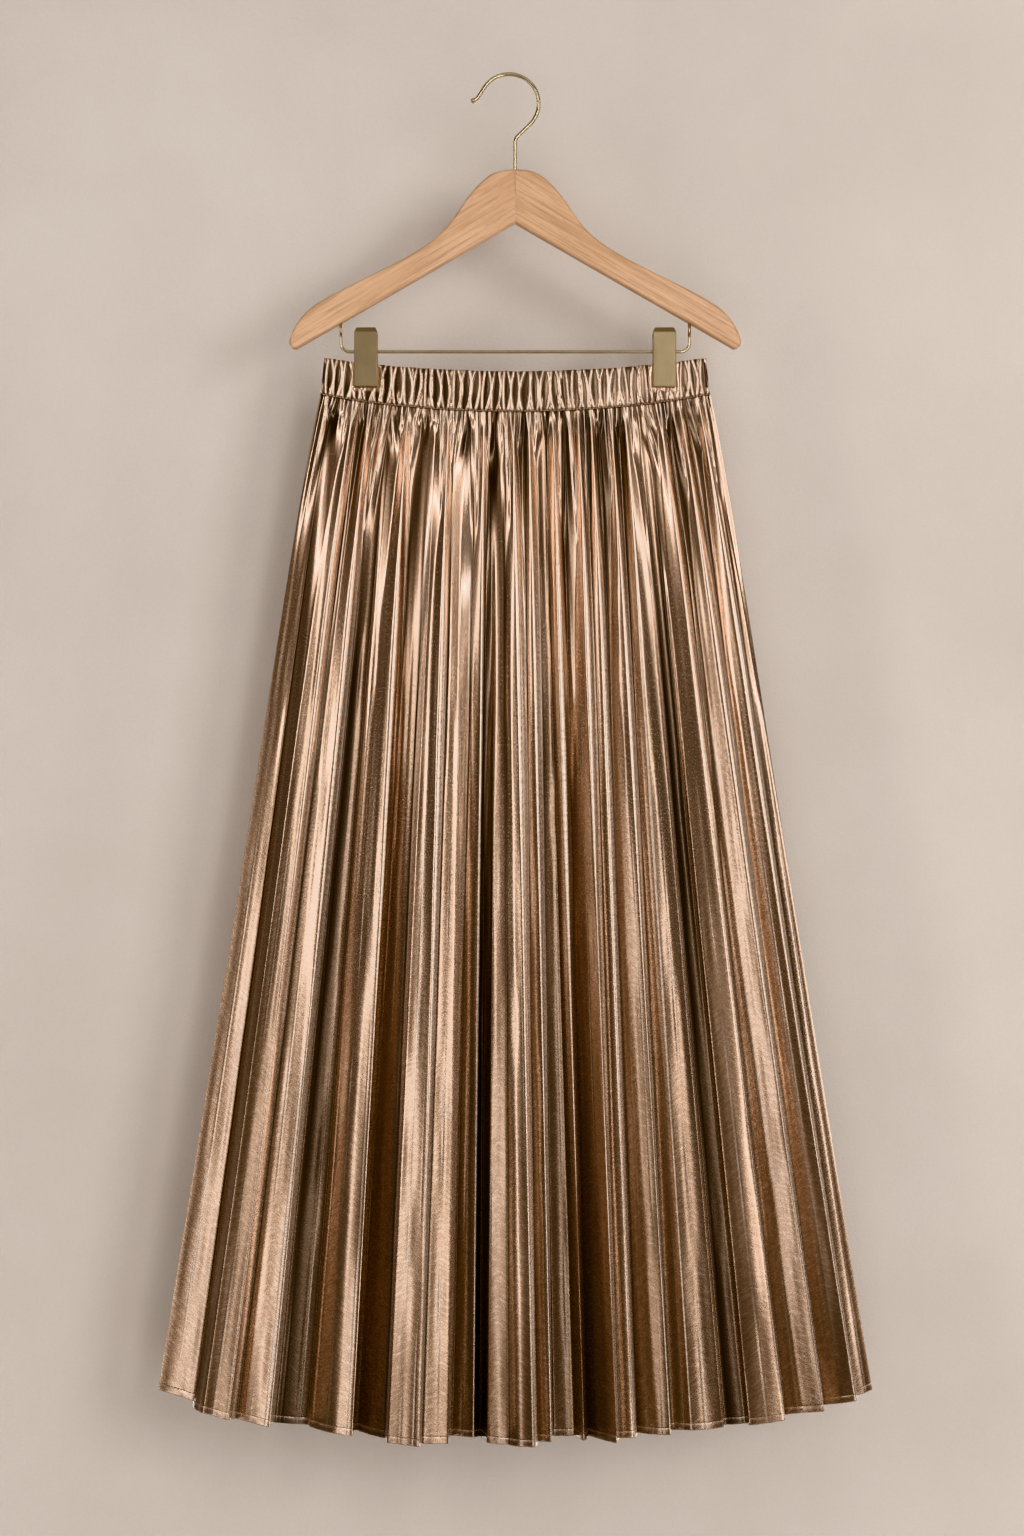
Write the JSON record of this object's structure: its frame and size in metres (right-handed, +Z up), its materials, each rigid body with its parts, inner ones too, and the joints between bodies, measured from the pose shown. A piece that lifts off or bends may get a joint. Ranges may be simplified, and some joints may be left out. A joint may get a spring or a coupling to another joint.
{
  "type": "pleated maxi skirt on a clip hanger",
  "caption": "Long accordion-pleated skirt of metallic cloth with a gathered elastic waistband, hanging by its waist from a wooden clip hanger.",
  "frame": {"origin": "on the inner face of the hook, where the rail's top touches it, in the hanger's middle plane and above its stem", "axes": "+Z up; +X along the hanger, to the right as seen from the front; the skirt's front faces -Y"},
  "size_m": [0.6786, 0.1692, 1.2886],
  "materials": {
    "cloth": "rose-gold foiled cloth with a fine crinkle, satin sheen",
    "wood": "light beech, clear satin varnish",
    "metal": "satin antique brass"
  },
  "bodies": {
    "root": {"skirt_front": "cloth", "skirt_back": "cloth", "waistband_front": "cloth", "waistband_back": "cloth", "hanger_arm_left": "wood", "hanger_arm_right": "wood", "hook": "metal", "bar": "metal", "clip_left_front_jaw": "metal", "clip_left_back_jaw": "metal", "clip_left_spring": "metal", "clip_right_front_jaw": "metal", "clip_right_back_jaw": "metal", "clip_right_spring": "metal"}
  },
  "joints": []
}
